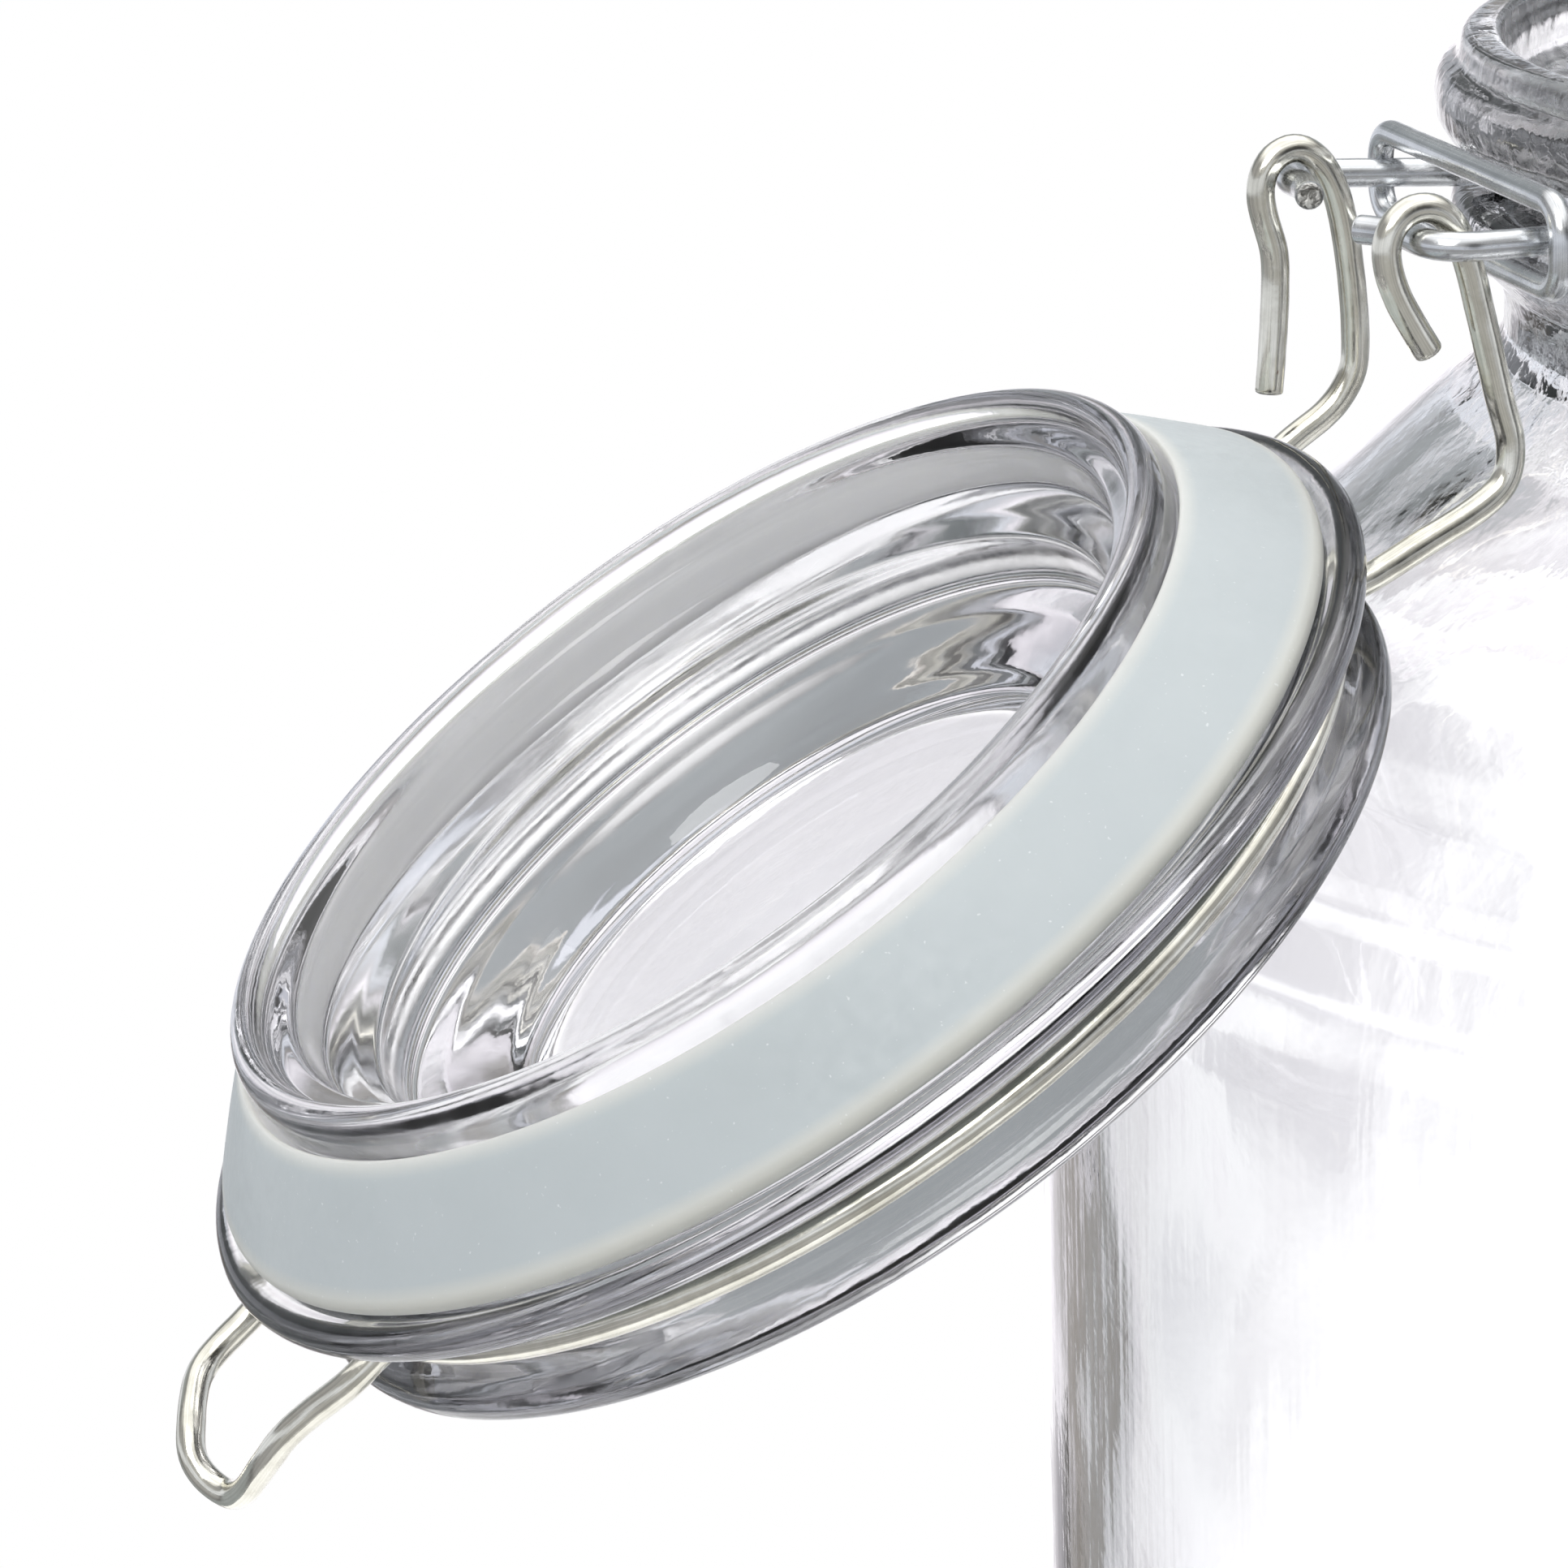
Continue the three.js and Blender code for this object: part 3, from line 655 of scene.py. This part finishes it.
# ---------------------------------------------------------------- lid, in its shut frame
LID = [
    (0, 4.5), (22.6, 4.4), (24.2, 3.9), (25.2, 2.7), (26.6, 1.7), (29.2, 0.25), (31.6, -0.25), (31.95, -0.6), (32.08, -4.5),
    (33.14, -5.83), (35.05, -7.4), (35.3, -9.2), (35.45, -10.1), (35.7, -10.45), (37.5, -11.0), (37.8, -11.3), (37.9, -12.1),
    (38.2, -12.6), (38.8, -12.85), (39.4, -12.75), (39.95, -12.35), (40.2, -11.7), (40.25, -10.6), (40.0, -8.0),
    (39.6, -3.4), (39.9, -1.4), (40.7, -0.6), (41.6, -0.45), (47.6, -0.45), (48.3, -0.85), (49.2, -0.8), (49.8, -0.2),
    (50.0, 0.5), (49.7, 1.4), (48.9, 2.0), (47.4, 2.4), (45.4, 2.8), (44.0, 3.3), (43.3, 4.1), (43.2, 5.0), (43.4, 6.0),
    (44.2, 6.8), (45.5, 7.4), (46.4, 8.3), (46.7, 9.4), (46.3, 10.5), (45.3, 11.15), (43.8, 11.3), (31.0, 11.3),
    (29.4, 10.8), (28.2, 9.8), (26.8, 9.3), (0, 9.2),
]
lid_prof = thin_out(rounded_half(LID, 0.30, 0.1), 0.003, 0.9)
LID_SEAMS = (107.8, 287.6)


def lid_shape(r, z, a, nr, nz, p):
    d = np.where(r > 40.6, 0.6, 0.06) * (0.010 * field(p, 14.0, 21) + 0.0035 * field(p, 4.2, 22))
    floor_zone = np.clip((35.0 - r) / 4.0, 0, 1)
    d += floor_zone * (0.003 * field(p, 9.0, 23) + 0.0008 * field(p, 3.4, 24))
    for k, s in enumerate(LID_SEAMS):
        off = r * ((a - math.radians(s) + np.pi) % (2 * np.pi) - np.pi)
        wob = 0.35 * field(p * np.array([0, 0, 1.0]) + np.array([r.mean(), 0, 0]), 5.0, 31 + k)
        on = ((r > 36.0) & (z < -9.5)) | ((k == 1) & (r > 46.2) & ~((r < 48.0) & (z < 1.0)))
        d += np.where(on, 0.055 * np.exp(-((off - wob) / 0.55) ** 2) * (0.7 + 0.3 * np.cos(z * 1.7)), 0)
    d = np.where((r > 41.0) & (r < 48.0) & (z < 1.0), np.clip(d, -0.03, 0.02), d)
    return d


lid = lathe("lid_glass_body", lid_prof, angle_list(540), lid_shape)
lr = np.array([math.hypot(v.co.x, v.co.y) / MM for v in lid.data.vertices])
lz = np.array([v.co.z / MM for v in lid.data.vertices])
rough_zone = np.maximum(np.clip((lr - 43.5) / 2.0, 0, 1), np.clip((-10.2 - lz) / 1.2, 0, 1) * np.clip((lr - 34) / 1.0, 0, 1))
lid.data.attributes.new("finish", "FLOAT", "POINT").data.foreach_set("value", rough_zone.astype(np.float32))
step_zone = 1.2 * np.clip((lr - 25.5) / 2.0, 0, 1) * np.clip((36.0 - lr) / 1.0, 0, 1) * (lz < 3.0)
lid.data.attributes.new("frost", "FLOAT", "POINT").data.foreach_set("value", np.maximum(rough_zone, step_zone).astype(np.float32))
finish_piece(lid, GLASS_LID, "lid_assembly", "lid", LID_M)

# ---------------------------------------------------------------- seal ring
SEAL_P = [(42.0, -0.8), (47.2, -0.8), (47.6, -1.1), (47.75, -1.9), (47.55, -2.5), (44.35, -6.1), (41.35, -9.35), (41.0, -9.75),
          (40.7, -9.6), (40.55, -8.6), (40.3, -6.0), (40.05, -3.4), (40.3, -2.0), (41.2, -1.0)]
seal_prof = ring_profile(SEAL_P, 0.16)


def seal_shape(r, z, a, nr, nz, p):
    return 0.012 * field(p, 16.0, 41) + 0.004 * field(p, 5.0, 42)


gasket = lathe("seal_ring", seal_prof, angle_list(224), seal_shape, closed=True)
gr = np.array([math.hypot(v.co.x, v.co.y) / MM for v in gasket.data.vertices], np.float32)
gasket.data.attributes.new("radius", "FLOAT", "POINT").data.foreach_set("value", gr)
gz = np.array([v.co.z / MM for v in gasket.data.vertices])
# painted light: mask of the seal's inner face, which the material colours near white to stand in for light in its shade
painted_inner_face_light = np.clip((40.95 - gr) / 0.25, 0, 1) * np.clip((gz + 9.5) / 0.3, 0, 1)
gasket.data.attributes.new("inner", "FLOAT", "POINT").data.foreach_set("value", painted_inner_face_light.astype(np.float32))
finish_piece(gasket, SEAL, "lid_assembly", "gasket", LID_M)

# ---------------------------------------------------------------- bail round the lid
HX, HZ = PIN_X, -FLANGE_RISE
hook_far = [V(HX + a, b, HZ + c) for a, b, c in (
    (10.6, 12.4, 12.2), (8.0, 12.5, 9.0), (5.7, 12.6, 6.0), (4.1, 12.6, 3.5), (3.3, 12.6, 0.9), (2.3, 12.6, -1.2),
    (0.3, 12.6, -2.45), (-1.8, 12.6, -1.9), (-2.65, 12.6, 0.3), (-2.3, 12.6, 3.0), (-1.1, 12.7, 6.2), (2.4, 12.9, 12.9),
    (4.2, 13.0, 15.3), (7.2, 13.1, 16.6), (11.4, 13.2, 16.7))]
hook_near = [V(HX + a, b, HZ + c) for a, b, c in (
    (4.0, -12.4, 7.3), (3.9, -12.5, 4.8), (3.7, -12.6, 2.2), (3.0, -12.6, -0.2), (1.7, -12.6, -2.0), (-0.4, -12.6, -2.5),
    (-2.1, -12.6, -1.5), (-2.65, -12.6, 0.7), (-1.9, -12.7, 3.8), (-0.5, -12.8, 7.6), (1.7, -13.0, 13.3), (2.9, -13.1, 16.6),
    (4.8, -13.2, 18.6), (7.6, -13.2, 18.9), (12.0, -13.2, 18.4))]
nose = [V(*q) for q in (
    (46.6, 11.2, 5.6), (50.4, 10.3, 6.1), (53.2, 10.2, 6.4), (55.4, 9.4, 6.6), (57.0, 7.2, 6.9), (58.4, 4.7, 7.5),
    (59.8, 3.3, 8.9), (60.0, 2.2, 10.6), (59.3, 0.2, 11.9), (58.0, -2.7, 11.0), (56.7, -5.0, 9.6), (55.2, -6.9, 8.3),
    (53.3, -8.2, 7.2), (50.8, -9.2, 6.6), (47.4, -11.0, 5.9))]


def on_bail(deg, dx, dy, dz):
    return V(BAIL_R * math.cos(math.radians(deg)) + dx, BAIL_R * math.sin(math.radians(deg)) + dy, BAIL_RISE + dz)


bail_line = np.vstack([
    centripetal(hook_far + [V(HX + 17.2, 13.2, 5.2), on_bail(163, -0.9, -0.1, 0.1)], 0.4),
    arc(BAIL_R, BAIL_RISE, 160, 17.5),
    centripetal([on_bail(14.6, 0.3, 0, 0.1)] + nose + [on_bail(-15.0, 0.3, 0, 0.1)], 0.4),
    arc(BAIL_R, BAIL_RISE, -18, -160),
    centripetal([on_bail(197, -0.9, 0.1, 0.15), V(HX + 17.2, -13.2, 5.6)] + hook_near[::-1], 0.4),
])
bail_line = ease(bail_line, 0.45, 0.7)
bail = tube("bail_wire", bail_line, WIRE_R, 22, 51)
finish_piece(bail, TINNED, "lid_assembly", "lid_bail", LID_M)

# ---------------------------------------------------------------- neck wire with pins, ring and front bar
back_a = math.asin(13.6 / RING_R)


def half(s):
    back_off = PIN_BACK_FAR if s > 0 else PIN_BACK_NEAR
    return [(V(PIN_X - back_off, s * PIN_INNER_Y, PIN_Z), 0), (V(PIN_X, s * PIN_BEND_Y, PIN_Z), 2.0), (V(PIN_X, s * ARM_Y, PIN_Z), 2.6),
            (V(-RING_R * math.cos(back_a) - 1.0, s * 13.2, RING_Z), 3.0)]


def front(s):
    return [(V(47.5, s * 17.6, RING_Z), 2.4), (V(BAR_X, s * 16.6, RING_Z), 2.6)]


arc_plus = arc(RING_R, RING_Z, 180 - math.degrees(back_a) - 4.5, 27, 3.0)
arc_minus = (arc_plus * np.array([1, -1, 1]))[::-1]
neck_line = bent(half(1) + [(q, 0) for q in arc_plus] + front(1) + front(-1)[::-1] + [(q, 0) for q in arc_minus] + half(-1)[::-1])
neck_line = ease(neck_line, 0.5, 0.55)
neck = tube("neck_wire_round", neck_line, WIRE_R, 22, 61)
finish_piece(neck, ZINC, "jar", "neck_wire")

# ---------------------------------------------------------------- keeper link
k_top, k_low = PIN_Z + 2.5, PIN_Z - 3.9
keeper_line = bent([
    (V(KEEPER_X, 2.2, k_low), 0), (V(KEEPER_X, KEEPER_HALF, k_low), 2.4), (V(KEEPER_X, KEEPER_HALF, k_top), 2.4),
    (V(KEEPER_X, -KEEPER_HALF, k_top), 2.4), (V(KEEPER_X, -KEEPER_HALF, k_low), 2.4), (V(KEEPER_X, 1.85, k_low), 0)])
keeper = tube("keeper_link", ease(keeper_line, 0.4, 0.35), CLAMP_R, 20, 71, chamfer=0.08)
finish_piece(keeper, ZINC, "jar", "hinge_keeper")

# ---------------------------------------------------------------- clamp loop and lever, drawn shut
BORE = 0.35


def ring_turn(cx, cz, y, radius, a0, a1, y1=None, n=40):
    t = np.radians(np.linspace(a0, a1, n))
    return np.stack([cx + radius * np.cos(t), np.linspace(y, y if y1 is None else y1, n), cz + radius * np.sin(t)], 1)


eye_r = WIRE_R + BORE + CLAMP_R


def loop_side(s):
    """Eye round the front bar: the wire's cut end first."""
    turn = ring_turn(BAR_X, RING_Z, s * LOOP_Y, eye_r, 150, 412)
    return turn


legs = bent([(V(BAR_X, LOOP_Y, RING_Z + eye_r + 2.6), 0), (V(LOOP_TOP[0], LOOP_Y, LOOP_Z), 1.9),
             (V(LOOP_TOP[0], -LOOP_Y, LOOP_Z), 1.9), (V(BAR_X, -LOOP_Y, RING_Z + eye_r + 2.6), 0)])
loop_line = np.vstack([loop_side(1), legs, loop_side(-1)[::-1]])
loop = tube("clamp_loop_wire", ease(loop_line, 0.3, 0.55), CLAMP_R, 20, 81)
finish_piece(loop, TINNED, "loop", "clamp_loop", LOOP_M)

lever_eye = CLAMP_R + BORE + CLAMP_R
Y_CLAW, Y_HAND = 8.65, 10.75
cx, cz = LOOP_TOP[0], LOOP_Z
coil_p = ring_turn(cx, cz, Y_CLAW, lever_eye, 180, -270, Y_HAND, 70)
coil_m = ring_turn(cx, cz, -Y_HAND, lever_eye, -270, 180, -Y_CLAW, 70)
claw_top = V(CLAW[0], 0, PIN_Z + CLAW[1])
handle = bent([
    (V(cx + 1.2, Y_HAND, cz + lever_eye), 0), (V(60.4, LEVER_Y + 0.3, cz + 2.2), 3.0), (V(64.8, LEVER_Y - 0.4, cz - 2.2), 3.0),
    (V(66.8, LEVER_Y - 1.6, cz - 20.4), 3.6), (V(66.8, -LEVER_Y + 1.6, cz - 20.4), 3.6), (V(64.8, -LEVER_Y + 0.4, cz - 2.2), 3.0),
    (V(60.4, -LEVER_Y - 0.3, cz + 2.2), 3.0), (V(cx + 1.2, -Y_HAND, cz + lever_eye), 0)])
claw_a = bent([(claw_top + V(0, 0.12, 0), 0), (claw_top + V(0, Y_CLAW, 0), 1.8), (V(cx - lever_eye, Y_CLAW, cz - 0.8), 0)])
claw_b = bent([(V(cx - lever_eye, -Y_CLAW, cz - 0.8), 0), (claw_top + V(0, -Y_CLAW, 0), 1.8), (claw_top + V(0, -0.12, 0), 0)])
lever_line = np.vstack([claw_a, coil_p, handle, coil_m, claw_b])
lever = tube("clamp_lever_wire", ease(lever_line, 0.3, 0.5), 0.96 * CLAMP_R, 20, 91, chamfer=0.08)
finish_piece(lever, TINNED, "lever", "clamp_lever", LEVER_M)

# ---------------------------------------------------------------- floor, light and camera
bm = bmesh.new()
bmesh.ops.create_circle(bm, cap_ends=True, radius=0.21, segments=96)
fm = bpy.data.meshes.new("floor")
bm.to_mesh(fm)
bm.free()
floor = bpy.data.objects.new("floor", fm)
floor.location = (-0.02, 0, -0.0003)
bpy.context.scene.collection.objects.link(floor)
floor.data.materials.append(floor_material())

scene = bpy.context.scene
world = bpy.data.worlds.new("studio")
scene.world = world
world.use_nodes = True
wt = world.node_tree
for n in list(wt.nodes):
    wt.nodes.remove(n)
w_out = wt.nodes.new("ShaderNodeOutputWorld")
tc = wt.nodes.new("ShaderNodeTexCoord")
dotn = node(wt, "ShaderNodeVectorMath", operation="DOT_PRODUCT")
wt.links.new(tc.outputs["Generated"], dotn.inputs[0])
dotn.inputs[1].default_value = (0.28404, 0.92043, -0.26858)
sepw = node(wt, "ShaderNodeSeparateXYZ")
wt.links.new(tc.outputs["Generated"], sepw.inputs[0])
away = math_node(wt, "ARCCOSINE", dotn.outputs["Value"])
back = ramp(wt, remap(wt, away, 0, math.pi, 0, 1),
            [(2.5 / 180, (0.96, 0.945, 0.985)), (5.5 / 180, (1.34, 1.33, 1.35)), (9 / 180, (1.36, 1.33, 1.37)), (12 / 180, (1.20, 1.16, 1.21)), (16 / 180, (0.88, 0.85, 0.90)), (20 / 180, (0.40, 0.385, 0.375)), (25 / 180, (0.31, 0.285, 0.26)),
             (31 / 180, (0.37, 0.39, 0.40)), (56 / 180, (0.40, 0.43, 0.445)), (61 / 180, (0.30, 0.31, 0.32)), (63.5 / 180, (0.22, 0.22, 0.23)),
             (66.5 / 180, (0.22, 0.22, 0.23)), (70 / 180, (0.38, 0.38, 0.39)), (82 / 180, (0.42, 0.42, 0.43)), (104 / 180, (0.44, 0.44, 0.45)),
             (124 / 180, (0.50, 0.50, 0.50)), (1.0, (0.55, 0.55, 0.54))])
top = ramp(wt, remap(wt, math_node(wt, "ARCSINE", sepw.outputs[2]), -math.pi / 2, math.pi / 2, 0, 1),
           [(0.5 - 14 / 180, (0.0, 0.0, 0.0)), (0.5 - 8 / 180, (0.90, 0.93, 1.0)), (0.5 + 7 / 180, (0.90, 0.93, 1.0)), (0.5 + 13 / 180, (0.0, 0.0, 0.0)),
            (0.5 + 26 / 180, (0.0, 0.0, 0.0)), (0.5 + 48 / 180, (1.5, 1.5, 1.5))])
mx = node(wt, "ShaderNodeMix", data_type="RGBA", blend_type="LIGHTEN")
wt.links.new(remap(wt, away, math.radians(15.5), math.radians(21), 0, 1), mx.inputs["Factor"])
wt.links.new(back, mx.inputs[6])
wt.links.new(top, mx.inputs[7])
dotf = node(wt, "ShaderNodeVectorMath", operation="DOT_PRODUCT")
wt.links.new(tc.outputs["Generated"], dotf.inputs[0])
dotf.inputs[1].default_value = (0.31377, -0.92752, 0.20314)
flag = remap(wt, math_node(wt, "ARCCOSINE", dotf.outputs["Value"]), math.radians(8), math.radians(24), 0.12, 1.0)
bg = wt.nodes.new("ShaderNodeBackground")
wt.links.new(mx.outputs[2], bg.inputs["Color"])
wt.links.new(flag, bg.inputs["Strength"])
white = wt.nodes.new("ShaderNodeBackground")
white.inputs["Color"].default_value = (1, 1, 1, 1)
white.inputs["Strength"].default_value = 1.0
lp = wt.nodes.new("ShaderNodeLightPath")
msh = wt.nodes.new("ShaderNodeMixShader")
wt.links.new(lp.outputs["Is Camera Ray"], msh.inputs[0])
wt.links.new(bg.outputs[0], msh.inputs[1])
wt.links.new(white.outputs[0], msh.inputs[2])
wt.links.new(msh.outputs[0], w_out.inputs["Surface"])


def softbox(name, loc, aim, size, radiance, colour=(1, 1, 1)):
    ld = bpy.data.lights.new(name, "AREA")
    ld.shape = "RECTANGLE"
    ld.size, ld.size_y = size
    ld.energy = radiance * math.pi * size[0] * size[1]
    ld.color = colour
    ob = bpy.data.objects.new(name, ld)
    ob.location = loc
    ob.rotation_euler = (Vector(aim) - Vector(loc)).to_track_quat("-Z", "Y").to_euler()
    bpy.context.scene.collection.objects.link(ob)
    return ob


softbox("key_softbox", (-0.75, -0.75, 1.05), (-0.05, 0, 0.15), (0.8, 0.8), 5.0)
softbox("top_softbox", (0.35, 0.35, 1.5), (0, 0, 0.15), (0.8, 0.8), 1.4)

scene.view_settings.view_transform = "Standard"
scene.view_settings.look = "None"

right = Vector((0.95268, -0.30257, -0.02942))
up = Vector((0.10834, 0.24751, 0.96281))
fwd = Vector((0.28404, 0.92043, -0.26858))
cam_data = bpy.data.cameras.new("camera")
cam_data.sensor_width = 36.0
cam_data.lens = 9000.0 / 1932.0 * 36.0
cam_data.clip_start, cam_data.clip_end = 0.02, 50
cam = bpy.data.objects.new("camera", cam_data)
m3 = Matrix((right, up, -fwd)).transposed()
cam.matrix_world = Matrix.Translation((-0.25955, -0.49016, 0.31847)) @ m3.to_4x4()
scene.collection.objects.link(cam)
scene.camera = cam

bpy.context.view_layer.update()
